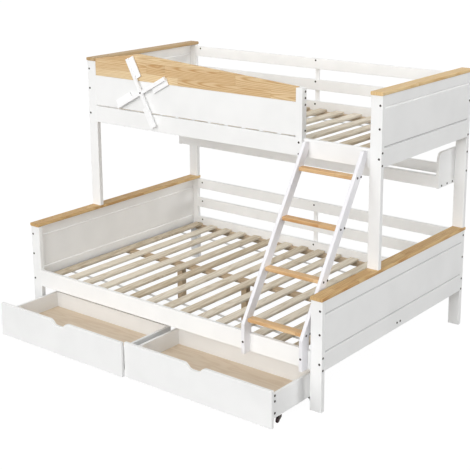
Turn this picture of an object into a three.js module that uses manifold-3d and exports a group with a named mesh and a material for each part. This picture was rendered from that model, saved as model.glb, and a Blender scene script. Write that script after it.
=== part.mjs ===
// Bunk bed, single over double, with a bent ladder, a hanging shelf, a turning toy windmill on the
// guard panel and two rolling under-bed drawers.
// Millimetres, +Z up, +X towards the foot end, -Y towards the front (ladder and drawers).
// The bed is drawn from the front face of its lower posts (Y = 0) and the floor (Z = 0), and the
// outermost group then centres it.

import * as THREE from "three";
import { mergeVertices } from "three/addons/utils/BufferGeometryUtils.js";
import Module from "manifold-3d";

const wasm = await Module();
wasm.setup();

// Overall sizes
const bedLength = 2080; // over the posts
const lowerWidth = 1470; // double bed, over the posts
const upperWidth = 961; // single bed, over the posts
const lowerRailTop = 311; // top edge of the side rails, from which each bed's other heights rise
const upperRailTop = 1229;
const lowerPostRise = 268; // the posts' tops over the side rails' top edge
const upperPostRise = 276;

// Fits
const seat = 0.3; // between pieces that are bolted or glued together
const turnGap = 0.4; // round an axle, and beside a turning piece
const slideGap = 8; // beside a drawer front, to the posts
const liftGap = 4; // over a drawer front, to the rail

// Posts and wooden caps
const postWidth = 68;
const postThick = 28;
const postEdge = 2.5; // rounding of the lacquered edges
const capThick = 19;
const capOverOuter = 3;
const capOverInner = 1.5;
const capOverFront = 4;
const capOverBack = 4;
const capEdge = 5;

// End boards: two rails and a panel, marked by two grooves on each face
const boardThick = 28;
const lowerBoardDrop = 95; // its lower edge under the side rail's top
const upperBoardDrop = 92;
const lowerTopBand = 68;
const lowerBottomBand = 99;
const upperTopBand = 61;
const upperBottomBand = 103;
const grooveWidth = 12;
const grooveDepth = 6;
const grooveFloor = 2; // the flat at its bottom

// Side rails, their slat ledges and the guard rails at the back
const sideRailHeight = 99;
const sideRailThick = 22;
const railEdge = 2.5;
const ledgeWidth = 28;
const ledgeHeight = 28;
const guardRailHeight = 66;
const guardRailThick = 20;
const lowerGuardRises = [268, 135]; // the guard rails' tops over the side rails' top edge
const upperGuardRises = [267, 135];
const battenWidth = 28;
const battenThick = 10;
const battenFoot = 60; // how far a batten reaches down the side rail

// Slat rolls and the centre beam
const slatCount = 16;
const slatWidth = 58;
const slatThick = 16;
const slatDrop = 41; // slat face below the rail's top edge
const slatEndGap = 7; // between a slat and a side rail, so that the end slats clear the posts
const slatInset = 31; // from an end board's face to the nearest slat
const slatEdge = 2;
const webWidth = 20;
const webThick = 1.6;
const webFrontInset = 186; // from a slat's front end to the middle of the webbing
const webBackInset = 215; // the same at its back end
const beamWidth = 60;
const beamHeight = 16;
const legSize = 40;
const legCount = 3;

// Guard at the front of the upper bed
const guardPanelThick = 18;
const guardPanelGap = 9; // open slit above the side rail
const roofRise = 190; // underside of the wooden roof board, over the side rail's top edge
const roofThick = 18;
const roofEaveLeft = 102; // heights of its outline above that underside
const roofRidge = 158;
const roofEaveRight = 81;
const ridgePlace = 360; // from the left post to the ridge
const entryWidth = 404;
const guardPostWidth = 41;
const guardPostDepth = 40;
const guardPostProud = 18; // how far it stands before the rail
const guardPostRise = 268; // its top over the side rail's top edge
const guardPostChamfer = 12;

// Windmill
const millInset = 389; // from the left posts to its pin
const millRise = 124.5; // its pin over the side rail's top
const millTurn = 28.5; // degrees the arms stand anticlockwise of upright
const millReach = 217.5;
const millBarWidth = 22;
const millBarThick = 12;
const millSailWidth = 42; // from the bar's centre line
const millSailInner = 88;
const millSailThick = 7;
const millStandOff = 4; // collar between sails and panel
const millPinRadius = 3;
const millHeadRadius = 5;
const millHeadThick = 3;
const millCollarRadius = 9;

// Hanging shelf at the back
const shelfDrop = 366; // its underside under the upper side rail's top edge
const shelfDepth = 210;
const shelfSetBack = 2; // from the posts' back faces
const shelfFloorThick = 18;
const shelfLipHeight = 68;
const shelfLipThick = 15;
const shelfBackBottom = 895;
const shelfBackHeight = 62;
const shelfBackThick = 15;
const shelfEndThick = 18;
const shelfEndDrop = 3; // end board below the floor board
const shelfEndHeight = 207;
const shelfEndCorner = 38;

// Ladder
const ladderEndGap = 14; // beside the foot posts
const ladderWidth = 375; // over the stringers
const stringerThick = 20;
const stringerDepth = 60; // measured level, front to back
const stringerProud = 50; // of the lower rail's face
const stringerFootRise = 1; // its lower end above the lower rail's bottom edge
const stringerBendRise = 64; // above the lower rail's top, where the foot ends and the lean starts
const stringerTopDrop = 10; // its upper end below the upper rail's top
const ladderRestDrop = 53.5; // where its back meets the upper rail, below that rail's top
const rungCount = 4;
const rungFirstRise = 87; // first tread above the lower rail's top
const rungTopDrop = 130.5; // the top rung under the upper side rail's top edge
const rungDepth = 46;
const rungThick = 20;
const rungSetBack = 14;
const rungEdge = 4;

// Drawers
const headDrawerPull = 320; // how far each stands open
const footDrawerPull = 304;
const drawerFrontBottom = 14;
const drawerFrontThick = 18;
const drawerMiddleGap = 4;
const fingerWidth = 146;
const fingerFlat = 34;
const fingerDepth = 29;
const boxEndInset = 28; // box side in from the front's outer end
const boxMiddleInset = 19;
const boxBottom = 40;
const boxTop = 166;
const boxDepth = 390;
const boxSideThick = 15;
const boxBackThick = 15;
const bottomTop = 75;
const tongueThick = 5; // edge of the bottom board, in the grooves
const tongueDrop = 3; // its top below the board's field
const bottomGroove = 6;
const bottomPlay = 0.4;

// Casters under the drawer sides
const wheelRadius = 13;
const wheelWidth = 12;
const wheelCrown = 2;
const wheelHub = 6;
const axleRadius = 2.5;
const forkCheek = 2.4;
const forkNose = 5; // round of a cheek below the axle
const forkPlateHalf = 11; // half length of the plate a fork hangs from
const forkRake = 12; // plate nearer the drawer's middle than the axle
const forkClear = 1.4; // plate above the wheel
const casterFrontInset = 78; // from the front panel's back face
const casterBackInset = 24; // from the box's back

// Worked-out places
const upperFront = lowerWidth - upperWidth;
const halfLength = bedLength / 2;
const postInner = halfLength - postWidth;
const boardInner = halfLength - boardThick;
const lowerInnerBack = lowerWidth - postThick;
const lowerPostTop = lowerRailTop + lowerPostRise;
const upperPostTop = upperRailTop + upperPostRise;
const lowerCapTop = lowerPostTop + capThick;
const lowerRailBottom = lowerRailTop - sideRailHeight;
const upperRailBottom = upperRailTop - sideRailHeight;
const backRailFace = lowerWidth - postThick;
const backRailRear = backRailFace + sideRailThick;
const guardPostX = postInner - entryWidth - guardPostWidth;
const lowerGuardTops = lowerGuardRises.map((rise) => lowerRailTop + rise);
const upperGuardTops = upperGuardRises.map((rise) => upperRailTop + rise);
const panelBottom = upperRailTop + guardPanelGap;
const roofBottom = upperRailTop + roofRise;
const guardPostTop = upperRailTop + guardPostRise;

// Finishes
const finish = (color, roughness, metalness = 0) =>
  new THREE.MeshStandardMaterial({ color, roughness, metalness });
const whiteLacquer = () => finish(0xf5f5f4, 0.42);
const oiledOak = () => finish(0xd8a66a, 0.5);
const paleOak = () => finish(0xe6bd84, 0.5);
const rawPine = () => finish(0xd2c4b2, 0.72);
const brownPine = () => finish(0xb98f68, 0.75);
const plywood = () => finish(0xcfb99b, 0.6);
const blackPlastic = () => finish(0x17161a, 0.45);

const bed = new THREE.Group();
const model = new THREE.Group();
model.add(bed);

// Adds one named piece to a group at a place
function piece(group, name, geometry, material, x = 0, y = 0, z = 0) {
  const mesh = new THREE.Mesh(geometry, material);
  mesh.name = name;
  mesh.position.set(x, y, z);
  group.add(mesh);
  return mesh;
}

// Shapes

function rectangle(x0, y0, x1, y1) {
  const shape = new THREE.Shape();
  shape.moveTo(x0, y0);
  shape.lineTo(x1, y0);
  shape.lineTo(x1, y1);
  shape.lineTo(x0, y1);
  shape.closePath();
  return shape;
}

function roundedRectangle(x0, y0, x1, y1, radius) {
  const r = Math.min(radius, (x1 - x0) / 2.1, (y1 - y0) / 2.1);
  const shape = new THREE.Shape();
  shape.absarc(x1 - r, y0 + r, r, -Math.PI / 2, 0, false);
  shape.absarc(x1 - r, y1 - r, r, 0, Math.PI / 2, false);
  shape.absarc(x0 + r, y1 - r, r, Math.PI / 2, Math.PI, false);
  shape.absarc(x0 + r, y0 + r, r, Math.PI, 1.5 * Math.PI, false);
  shape.closePath();
  return shape;
}

function polygon(points) {
  const shape = new THREE.Shape();
  points.forEach(([x, y], i) => (i === 0 ? shape.moveTo(x, y) : shape.lineTo(x, y)));
  shape.closePath();
  return shape;
}

const arcSteps = 3;

function extrude(shape, depth, curveSegments = arcSteps) {
  return new THREE.ExtrudeGeometry(shape, { depth, bevelEnabled: false, curveSegments });
}

// The shape's own axes become Y and Z, and it runs from x0 to x1
function alongX(shape, x0, x1, curveSegments) {
  const turn = new THREE.Matrix4().makeBasis(
    new THREE.Vector3(0, 1, 0),
    new THREE.Vector3(0, 0, 1),
    new THREE.Vector3(1, 0, 0),
  );
  return extrude(shape, x1 - x0, curveSegments).applyMatrix4(turn).translate(x0, 0, 0);
}

// The shape's own axes become X and Z, and it runs from y0 to y1
function alongY(shape, y0, y1, curveSegments) {
  return extrude(shape, y1 - y0, curveSegments).rotateX(Math.PI / 2).translate(0, y1, 0);
}

// The shape's own axes stay X and Y, and it runs from z0 to z1
function alongZ(shape, z0, z1, curveSegments) {
  return extrude(shape, z1 - z0, curveSegments).translate(0, 0, z0);
}

function block(x0, x1, y0, y1, z0, z1) {
  return new THREE.BoxGeometry(x1 - x0, y1 - y0, z1 - z0).translate(
    (x0 + x1) / 2,
    (y0 + y1) / 2,
    (z0 + z1) / 2,
  );
}

// Solids for cuts and joins

function solid(geometry) {
  const plain = geometry.clone();
  plain.deleteAttribute("normal");
  plain.deleteAttribute("uv");
  const merged = mergeVertices(plain, 1e-4);
  return new wasm.Manifold(
    new wasm.Mesh({
      numProp: 3,
      vertProperties: Float32Array.from(merged.attributes.position.array),
      triVerts: Uint32Array.from(merged.index.array),
    }),
  );
}

function surface(body) {
  const mesh = body.getMesh();
  const geometry = new THREE.BufferGeometry();
  geometry.setAttribute("position", new THREE.BufferAttribute(mesh.vertProperties, 3));
  geometry.setIndex(new THREE.BufferAttribute(mesh.triVerts, 1));
  geometry.computeVertexNormals();
  return geometry;
}

function join(geometries) {
  return geometries.map(solid).reduce((sum, part) => sum.add(part));
}

// A lathe profile turned round +X
function turned(points, segments) {
  const profile = points.map(([radius, along]) => new THREE.Vector2(radius, along));
  return new THREE.LatheGeometry(profile, segments).rotateZ(-Math.PI / 2);
}

// End assemblies: two posts, an end board and a cap; side is -1 at the head and 1 at the foot

function postGeometry(side, bottom, top) {
  const x0 = side < 0 ? -halfLength : postInner;
  return alongZ(roundedRectangle(x0, 0, x0 + postWidth, postThick, postEdge), bottom, top);
}

function boardGeometry(side, frontY, bottom, top, bottomBand, topBand) {
  const x0 = side < 0 ? -halfLength : boardInner;
  const x1 = x0 + boardThick;
  const grooves = [bottom + bottomBand, top - topBand];
  const half = grooveWidth / 2;
  const right = grooves.flatMap((z) => [
    [x1, z - half],
    [x1 - grooveDepth, z - grooveFloor / 2],
    [x1 - grooveDepth, z + grooveFloor / 2],
    [x1, z + half],
  ]);
  const left = grooves.flatMap((z) => [
    [x0, z - half],
    [x0 + grooveDepth, z - grooveFloor / 2],
    [x0 + grooveDepth, z + grooveFloor / 2],
    [x0, z + half],
  ]);
  const outline = [[x0, bottom], [x1, bottom], ...right, [x1, top], [x0, top], ...left.reverse()];
  return alongY(polygon(outline), frontY + postThick + seat, lowerInnerBack - seat);
}

function capGeometry(side, frontY, bottom) {
  const x0 = side < 0 ? -halfLength - capOverOuter : postInner - capOverInner;
  const x1 = side < 0 ? -postInner + capOverInner : halfLength + capOverOuter;
  const profile = roundedRectangle(x0, bottom + seat, x1, bottom + capThick, capEdge);
  return alongY(profile, frontY - capOverFront, lowerWidth + capOverBack);
}

function endAssembly(level, endName, side) {
  const lower = level === "lower";
  const frontY = lower ? 0 : upperFront;
  const postBottom = lower ? 0 : lowerCapTop + seat;
  const postTop = lower ? lowerPostTop : upperPostTop;
  const boardBottom = lower ? lowerRailTop - lowerBoardDrop : upperRailTop - upperBoardDrop;
  const bands = lower ? [lowerBottomBand, lowerTopBand] : [upperBottomBand, upperTopBand];
  const name = `${level}_${endName}`;
  const post = () => postGeometry(side, postBottom, postTop);
  piece(bed, `${name}_front_post`, post(), whiteLacquer(), 0, frontY, 0);
  piece(bed, `${name}_back_post`, post(), whiteLacquer(), 0, lowerInnerBack, 0);
  const board = boardGeometry(side, frontY, boardBottom, postTop, ...bands);
  piece(bed, `${name}_board`, board, whiteLacquer());
  const capFinish = lower ? oiledOak() : paleOak();
  piece(bed, `${name}_cap`, capGeometry(side, frontY, postTop), capFinish);
}

for (const level of ["lower", "upper"]) {
  endAssembly(level, "head", -1);
  endAssembly(level, "foot", 1);
}

// Side rails: a board with a slat ledge glued along its inner face

function sideRail(outerY, inward, top) {
  const bottom = top - sideRailHeight;
  const ledgeTop = top - slatDrop - slatThick;
  const board = roundedRectangle(0, bottom, sideRailThick, top, railEdge);
  const ledgeStart = sideRailThick - railEdge;
  const ledge = rectangle(ledgeStart, ledgeTop - ledgeHeight, sideRailThick + ledgeWidth, ledgeTop);
  const span = postInner - seat;
  const joined = join([alongX(board, -span, span), alongX(ledge, -span, span)]);
  const geometry = surface(joined);
  if (inward < 0) geometry.rotateZ(Math.PI);
  return geometry.translate(0, outerY, 0);
}

piece(bed, "lower_front_rail", sideRail(0, 1, lowerRailTop), whiteLacquer());
piece(bed, "lower_back_rail", sideRail(backRailRear, -1, lowerRailTop), whiteLacquer());
piece(bed, "upper_front_rail", sideRail(upperFront, 1, upperRailTop), whiteLacquer());
piece(bed, "upper_back_rail", sideRail(backRailRear, -1, upperRailTop), whiteLacquer());

// Guard rails between the back posts, and the batten that ties them to the side rail

function guardRail(top) {
  const y1 = backRailRear;
  const profile = roundedRectangle(y1 - guardRailThick, top - guardRailHeight, y1, top, railEdge);
  return alongX(profile, -postInner + seat, postInner - seat);
}

function batten(railTop, guardTops) {
  const y0 = backRailRear + seat;
  const profile = roundedRectangle(-battenWidth / 2, y0, battenWidth / 2, y0 + battenThick, 2);
  return alongZ(profile, railTop - battenFoot, Math.max(...guardTops) - railEdge);
}

lowerGuardTops.forEach((top, i) => {
  piece(bed, `lower_guard_rail_${i + 1}`, guardRail(top), whiteLacquer());
});
upperGuardTops.forEach((top, i) => {
  piece(bed, `upper_guard_rail_${i + 1}`, guardRail(top), whiteLacquer());
});
piece(bed, "lower_batten", batten(lowerRailTop, lowerGuardTops), whiteLacquer());
piece(bed, "upper_batten", batten(upperRailTop, upperGuardTops), whiteLacquer());

// Slat roll: evenly spaced slats on two webbing straps stapled under them

function slatRoll(frontY, railTop) {
  const y0 = frontY + sideRailThick + slatEndGap;
  const y1 = backRailFace - slatEndGap;
  const top = railTop - slatDrop;
  const bottom = top - slatThick + seat;
  const reach = boardInner - slatInset;
  const pitch = (2 * reach - slatWidth) / (slatCount - 1);
  const parts = [];
  for (let i = 0; i < slatCount; i += 1) {
    const x0 = -reach + i * pitch;
    const profile = roundedRectangle(x0, bottom, x0 + slatWidth, top, slatEdge);
    parts.push(alongY(profile, y0, y1, 1));
  }
  const first = -reach + slatWidth / 2;
  const sunk = webThick / 4;
  for (const y of [y0 + webFrontInset, y1 - webBackInset]) {
    const z1 = bottom + sunk;
    parts.push(block(first, -first, y - webWidth / 2, y + webWidth / 2, z1 - webThick, z1));
  }
  return surface(join(parts));
}

piece(bed, "lower_slats", slatRoll(0, lowerRailTop), rawPine());
piece(bed, "upper_slats", slatRoll(upperFront, upperRailTop), rawPine());

// Centre beam under the lower slats, on legs at equal spaces

const beamTop = lowerRailTop - slatDrop - slatThick;
const beamBottom = beamTop - beamHeight;
const beamY = lowerWidth / 2;
const beamProfile = roundedRectangle(
  beamY - beamWidth / 2,
  beamBottom,
  beamY + beamWidth / 2,
  beamTop,
  railEdge,
);
const beamSpan = boardInner - seat;
piece(bed, "centre_beam", alongX(beamProfile, -beamSpan, beamSpan), brownPine());
for (let i = 1; i <= legCount; i += 1) {
  const x = -boardInner + (i * 2 * boardInner) / (legCount + 1);
  const half = legSize / 2;
  const profile = roundedRectangle(-half, -half, half, half, railEdge);
  piece(bed, `beam_leg_${i}`, alongZ(profile, 0, beamBottom - seat), brownPine(), x, beamY, 0);
}

// Front guard: panel with the windmill's pin, wooden roof board and the short post by the entry

const guardLeft = -postInner + seat;
const guardRight = guardPostX - seat;
const panelBoard = alongY(
  roundedRectangle(guardLeft, panelBottom, guardRight, roofBottom - seat, railEdge),
  upperFront,
  upperFront + guardPanelThick,
);
const millX = -postInner + millInset;
const millZ = upperRailTop + millRise;
const millBack = upperFront - millStandOff;
const millFront = millBack - millSailThick - millBarThick;
// The pin's profile runs forwards from inside the panel: shaft, collar, shaft and head
const pinRoot = guardPanelThick / 2;
const headBack = upperFront - millFront + turnGap;
const pinProfile = [
  [0, -pinRoot],
  [millCollarRadius, -pinRoot],
  [millCollarRadius, millStandOff - turnGap],
  [millPinRadius, millStandOff - turnGap],
  [millPinRadius, headBack],
  [millHeadRadius, headBack],
  [millHeadRadius, headBack + millHeadThick],
  [0, headBack + millHeadThick],
];
const pinSegments = 24;
const millPin = turned(pinProfile, pinSegments).rotateZ(-Math.PI / 2).translate(millX, upperFront, millZ);
piece(bed, "guard_panel", surface(join([panelBoard, millPin])), whiteLacquer());

const roofLeft = -postInner + capOverInner + seat;
const roofOutline = polygon([
  [roofLeft, roofBottom],
  [guardRight, roofBottom],
  [guardRight, roofBottom + roofEaveRight],
  [-postInner + ridgePlace, roofBottom + roofRidge],
  [roofLeft, roofBottom + roofEaveLeft],
]);
piece(bed, "roof_board", alongY(roofOutline, upperFront, upperFront + roofThick), oiledOak());

const guardPostFront = upperFront - guardPostProud;
const guardPostRear = guardPostFront + guardPostDepth;
const guardPostSide = polygon([
  [guardPostFront, upperRailBottom],
  [upperFront - seat, upperRailBottom],
  [upperFront - seat, upperRailTop + seat],
  [guardPostRear, upperRailTop + seat],
  [guardPostRear, guardPostTop],
  [guardPostFront, guardPostTop],
]);
const guardPostEnd = guardPostX + guardPostWidth;
const guardPostFace = polygon([
  [guardPostX + guardPostChamfer, upperRailBottom],
  [guardPostEnd - guardPostChamfer, upperRailBottom],
  [guardPostEnd, upperRailBottom + guardPostChamfer],
  [guardPostEnd, guardPostTop],
  [guardPostX, guardPostTop],
  [guardPostX, upperRailBottom + guardPostChamfer],
]);
const guardPost = solid(alongX(guardPostSide, guardPostX, guardPostEnd)).intersect(
  solid(alongY(guardPostFace, guardPostFront, guardPostRear)),
);
piece(bed, "guard_post", surface(guardPost), whiteLacquer());

// Windmill: two bars halved across each other, each arm with a sail glued behind its clockwise edge

function windmill() {
  const half = millBarWidth / 2;
  const parts = [
    block(-half, half, -millBarThick, 0, -millReach, millReach),
    block(-millReach, millReach, -millBarThick, 0, -half, half),
  ];
  const bite = 0.3;
  for (let arm = 0; arm < 4; arm += 1) {
    const sail = block(0, millSailWidth, -bite, millSailThick, millSailInner, millReach);
    parts.push(sail.rotateY((arm * Math.PI) / 2));
  }
  const boreHalf = millBarThick + millSailThick;
  const bore = turned(
    [
      [0, -boreHalf],
      [millPinRadius + turnGap, -boreHalf],
      [millPinRadius + turnGap, boreHalf],
      [0, boreHalf],
    ],
    pinSegments,
  ).rotateZ(Math.PI / 2);
  return surface(join(parts).subtract(solid(bore)));
}

const mill = piece(bed, "windmill", windmill(), whiteLacquer(), millX, millBack - millSailThick, millZ);
mill.rotation.y = THREE.MathUtils.degToRad(-millTurn);

// Hanging shelf: tray, back board and two end boards bolted between the back posts

const shelfBottom = upperRailTop - shelfDrop;
const shelfRear = lowerWidth - shelfSetBack;
const shelfFront = shelfRear - shelfDepth;
const shelfSpan = postInner - seat - shelfEndThick - seat;
const shelfTray = polygon([
  [shelfFront, shelfBottom],
  [shelfRear, shelfBottom],
  [shelfRear, shelfBottom + shelfFloorThick],
  [shelfFront + shelfLipThick, shelfBottom + shelfFloorThick],
  [shelfFront + shelfLipThick, shelfBottom + shelfLipHeight],
  [shelfFront, shelfBottom + shelfLipHeight],
]);
piece(bed, "shelf_tray", alongX(shelfTray, -shelfSpan, shelfSpan), whiteLacquer());
const shelfBack = roundedRectangle(
  shelfRear - shelfBackThick,
  shelfBackBottom,
  shelfRear,
  shelfBackBottom + shelfBackHeight,
  railEdge,
);
piece(bed, "shelf_back", alongX(shelfBack, -shelfSpan, shelfSpan), whiteLacquer());

function shelfEnd() {
  const z0 = shelfBottom - shelfEndDrop;
  const z1 = z0 + shelfEndHeight;
  const shape = new THREE.Shape();
  shape.moveTo(shelfFront, z0);
  shape.lineTo(shelfRear, z0);
  shape.lineTo(shelfRear, z1);
  const r = shelfEndCorner;
  shape.absarc(shelfFront + r, z1 - r, r, Math.PI / 2, Math.PI, false);
  shape.closePath();
  return shape;
}

const cornerSteps = 8;
const shelfEndAt = (x0) => alongX(shelfEnd(), x0, x0 + shelfEndThick, cornerSteps);
piece(bed, "shelf_head_end", shelfEndAt(-postInner + seat), whiteLacquer());
piece(bed, "shelf_foot_end", shelfEndAt(postInner - seat - shelfEndThick), whiteLacquer());

// Ladder: stringers with an upright foot hooked over the lower rail, and level rungs

const stringerFoot = lowerRailBottom + stringerFootRise;
const stringerBend = lowerRailTop + stringerBendRise;
const stringerTop = upperRailTop - stringerTopDrop;
const stringerRear = stringerDepth - stringerProud;
const restY = upperFront - seat;
const restZ = upperRailTop - ladderRestDrop;
const ladderLean = (restY - stringerRear) / (restZ - stringerBend);
const stringerFrontAt = (z) => ladderLean * (z - stringerBend) - stringerProud;
const stringerOutline = polygon([
  [-stringerProud, stringerFoot],
  [-seat, stringerFoot],
  [-seat, lowerRailTop + seat],
  [stringerRear, lowerRailTop + seat],
  [stringerRear, stringerBend],
  [restY, restZ],
  [restY, stringerTop],
  [stringerFrontAt(stringerTop), stringerTop],
  [-stringerProud, stringerBend],
]);
const ladderRight = postInner - ladderEndGap;
const ladderLeft = ladderRight - ladderWidth;
const stringerAt = (x0) => alongX(stringerOutline, x0, x0 + stringerThick);
piece(bed, "ladder_left_stringer", stringerAt(ladderLeft), whiteLacquer());
piece(bed, "ladder_right_stringer", stringerAt(ladderRight - stringerThick), whiteLacquer());

const rungFirst = lowerRailTop + rungFirstRise;
const rungRise = (upperRailTop - rungTopDrop - rungFirst) / (rungCount - 1);
for (let i = 0; i < rungCount; i += 1) {
  const top = rungFirst + i * rungRise;
  const y0 = stringerFrontAt(top) + rungSetBack;
  const profile = roundedRectangle(y0, top - rungThick, y0 + rungDepth, top, rungEdge);
  const x0 = ladderLeft + stringerThick + seat;
  const x1 = ladderRight - stringerThick - seat;
  piece(bed, `ladder_rung_${i + 1}`, alongX(profile, x0, x1), oiledOak());
}

// Drawers: a front with a finger cut-out, a box of sides and back, and a bottom in a groove.
// side is -1 for the head drawer and 1 for the foot drawer.

const frontTop = lowerRailBottom - liftGap;
const frontInner = drawerMiddleGap / 2;
const frontOuter = postInner - slideGap;
const frontRear = drawerFrontThick;
const boxInner = frontInner + boxMiddleInset;
const boxOuter = frontOuter - boxEndInset;
const boxFront = frontRear + seat;
const boxRear = boxFront + boxDepth;

function drawerFrontGeometry() {
  const middle = (frontInner + frontOuter) / 2;
  const half = fingerWidth / 2;
  const flat = fingerFlat / 2;
  const bend = (half - flat) / 2;
  const floorZ = frontTop - fingerDepth;
  const shape = new THREE.Shape();
  shape.moveTo(frontInner, drawerFrontBottom);
  shape.lineTo(frontOuter, drawerFrontBottom);
  shape.lineTo(frontOuter, frontTop);
  shape.lineTo(middle + half, frontTop);
  shape.bezierCurveTo(
    middle + half - bend,
    frontTop,
    middle + flat + bend,
    floorZ,
    middle + flat,
    floorZ,
  );
  shape.lineTo(middle - flat, floorZ);
  shape.bezierCurveTo(
    middle - flat - bend,
    floorZ,
    middle - half + bend,
    frontTop,
    middle - half,
    frontTop,
  );
  shape.lineTo(frontInner, frontTop);
  shape.closePath();
  const curveSteps = 8;
  return alongY(shape, 0, drawerFrontThick, curveSteps);
}

// The bottom board's edge in its groove, grown by some play
function bottomTongue(play) {
  const reach = boxSideThick - bottomGroove;
  const top = bottomTop - tongueDrop;
  return block(
    boxInner + reach - play,
    boxOuter - reach + play,
    frontRear - bottomGroove - play,
    boxRear - boxBackThick + bottomGroove + play,
    top - tongueThick - play,
    top + play,
  );
}

// The bottom board: its field stands higher than its edge and fits between the walls
function bottomBoard() {
  const field = block(
    boxInner + boxSideThick + seat,
    boxOuter - boxSideThick - seat,
    frontRear + seat,
    boxRear - boxBackThick - seat,
    bottomTop - tongueDrop - tongueThick,
    bottomTop,
  );
  return join([bottomTongue(0), field]);
}

// One caster fork: a plate under the side board, two raked cheeks and the axle between them.
// inward is 1 where the drawer's middle lies behind the axle and -1 where it lies before it.
function casterFork(x, y, inward) {
  const cheekInner = wheelWidth / 2 + turnGap;
  const cheekOuter = cheekInner + forkCheek;
  const plateBottom = 2 * wheelRadius + forkClear;
  const bite = 0.5;
  const top = boxBottom + bite;
  const plateFar = forkRake + forkPlateHalf;
  const plateNear = forkRake - forkPlateHalf;
  const cheek = new THREE.Shape();
  cheek.absarc(0, wheelRadius, forkNose, Math.PI, 2 * Math.PI, false);
  cheek.lineTo(plateFar, plateBottom);
  cheek.lineTo(plateFar, top);
  cheek.lineTo(plateNear, top);
  cheek.lineTo(plateNear, plateBottom);
  cheek.closePath();
  const cheekSteps = 6;
  const cheekAt = (x0) => {
    const plate = solid(alongX(cheek, x0, x0 + forkCheek, cheekSteps));
    return surface(inward > 0 ? plate : plate.mirror([0, 1, 0]));
  };
  const plateMiddle = inward * forkRake;
  const parts = [
    cheekAt(-cheekOuter),
    cheekAt(cheekInner),
    block(
      -cheekOuter,
      cheekOuter,
      plateMiddle - forkPlateHalf,
      plateMiddle + forkPlateHalf,
      plateBottom,
      top,
    ),
    turned(
      [
        [0, -cheekOuter],
        [axleRadius, -cheekOuter],
        [axleRadius, cheekOuter],
        [0, cheekOuter],
      ],
      12,
    ).translate(0, 0, wheelRadius),
  ];
  return parts.map((part) => part.translate(x, y, 0));
}

function casterPlaces() {
  const xs = [boxInner + boxSideThick / 2, boxOuter - boxSideThick / 2];
  const ys = [frontRear + casterFrontInset, boxRear - casterBackInset];
  return xs.flatMap((x) => ys.map((y) => [x, y]));
}

function drawerBoxGeometry() {
  const parts = [
    block(boxInner, boxInner + boxSideThick, boxFront, boxRear, boxBottom, boxTop),
    block(boxOuter - boxSideThick, boxOuter, boxFront, boxRear, boxBottom, boxTop),
    block(boxInner, boxOuter, boxRear - boxBackThick, boxRear, boxBottom, boxTop),
  ];
  for (const [x, y] of casterPlaces()) {
    const inward = y < (boxFront + boxRear) / 2 ? 1 : -1;
    parts.push(...casterFork(x, y, inward));
  }
  return join(parts).subtract(solid(bottomTongue(bottomPlay)));
}

function wheelGeometry() {
  const half = wheelWidth / 2;
  const bore = axleRadius + turnGap;
  const profile = [
    [bore, -half],
    [wheelHub, -half],
    [wheelRadius - 2 * wheelCrown, -half],
    [wheelRadius - wheelCrown / 2, -half + wheelCrown],
    [wheelRadius, -half / 4],
    [wheelRadius, half / 4],
    [wheelRadius - wheelCrown / 2, half - wheelCrown],
    [wheelRadius - 2 * wheelCrown, half],
    [bore, half],
    [bore, -half],
  ];
  return turned(profile, 20);
}

// A body drawn for the foot drawer, turned round for the head drawer
function mirrored(body, side) {
  return side > 0 ? body : body.mirror([1, 0, 0]);
}

function drawer(name, side, pull) {
  const group = new THREE.Group();
  group.position.y = -pull;
  bed.add(group);
  const front = solid(drawerFrontGeometry()).subtract(solid(bottomTongue(bottomPlay)));
  piece(group, `${name}_front`, surface(mirrored(front, side)), whiteLacquer());
  const box = drawerBoxGeometry();
  piece(group, `${name}_box`, surface(mirrored(box, side)), whiteLacquer());
  const bottom = mirrored(bottomBoard(), side);
  piece(group, `${name}_bottom`, surface(bottom), plywood());
  casterPlaces().forEach(([x, y], i) => {
    const wheelName = `${name}_wheel_${i + 1}`;
    piece(group, wheelName, wheelGeometry(), blackPlastic(), side * x, y, wheelRadius);
  });
}

drawer("head_drawer", -1, headDrawerPull);
drawer("foot_drawer", 1, footDrawerPull);

// The outermost group stands the bed on the middle of its footprint
const footprintFront = -Math.max(headDrawerPull, footDrawerPull);
const footprintBack = Math.max(lowerWidth + capOverBack, backRailRear + seat + battenThick);
bed.position.y = -(footprintFront + footprintBack) / 2;

export default model;
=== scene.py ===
"""Finishes and fittings of a white bunk bed with drawers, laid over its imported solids.

Metres, +Z up, +X towards the foot end, -Y towards the ladder and drawers.
"""

import logging
import math
from abc import ABC, abstractmethod
from dataclasses import dataclass, field
from enum import Enum
from typing import Iterable, Optional, Sequence, Union

import bmesh
import bpy
from bpy.types import Material, Mesh, Object
from mathutils import Matrix, Vector


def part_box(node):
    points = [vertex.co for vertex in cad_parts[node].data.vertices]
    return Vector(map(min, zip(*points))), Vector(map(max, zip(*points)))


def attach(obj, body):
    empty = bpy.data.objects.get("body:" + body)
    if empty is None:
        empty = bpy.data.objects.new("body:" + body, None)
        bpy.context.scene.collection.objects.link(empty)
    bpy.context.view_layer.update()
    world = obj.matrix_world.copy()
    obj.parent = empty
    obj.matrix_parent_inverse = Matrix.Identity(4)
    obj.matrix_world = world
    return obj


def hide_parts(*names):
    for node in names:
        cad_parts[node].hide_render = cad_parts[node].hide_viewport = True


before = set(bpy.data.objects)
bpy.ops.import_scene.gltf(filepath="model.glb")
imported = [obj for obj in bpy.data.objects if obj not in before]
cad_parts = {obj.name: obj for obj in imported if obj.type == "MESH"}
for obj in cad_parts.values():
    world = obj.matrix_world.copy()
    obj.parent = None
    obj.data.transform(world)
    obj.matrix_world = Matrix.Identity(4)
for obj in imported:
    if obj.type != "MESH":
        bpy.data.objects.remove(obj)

LOG = logging.getLogger("bunk_bed")
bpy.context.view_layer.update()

Colour = tuple[float, float, float]
Pair = tuple[float, float]
Socket = bpy.types.NodeSocket
Value = Union[int, float, bool, Sequence[float], bpy.types.ID, Socket]


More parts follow.
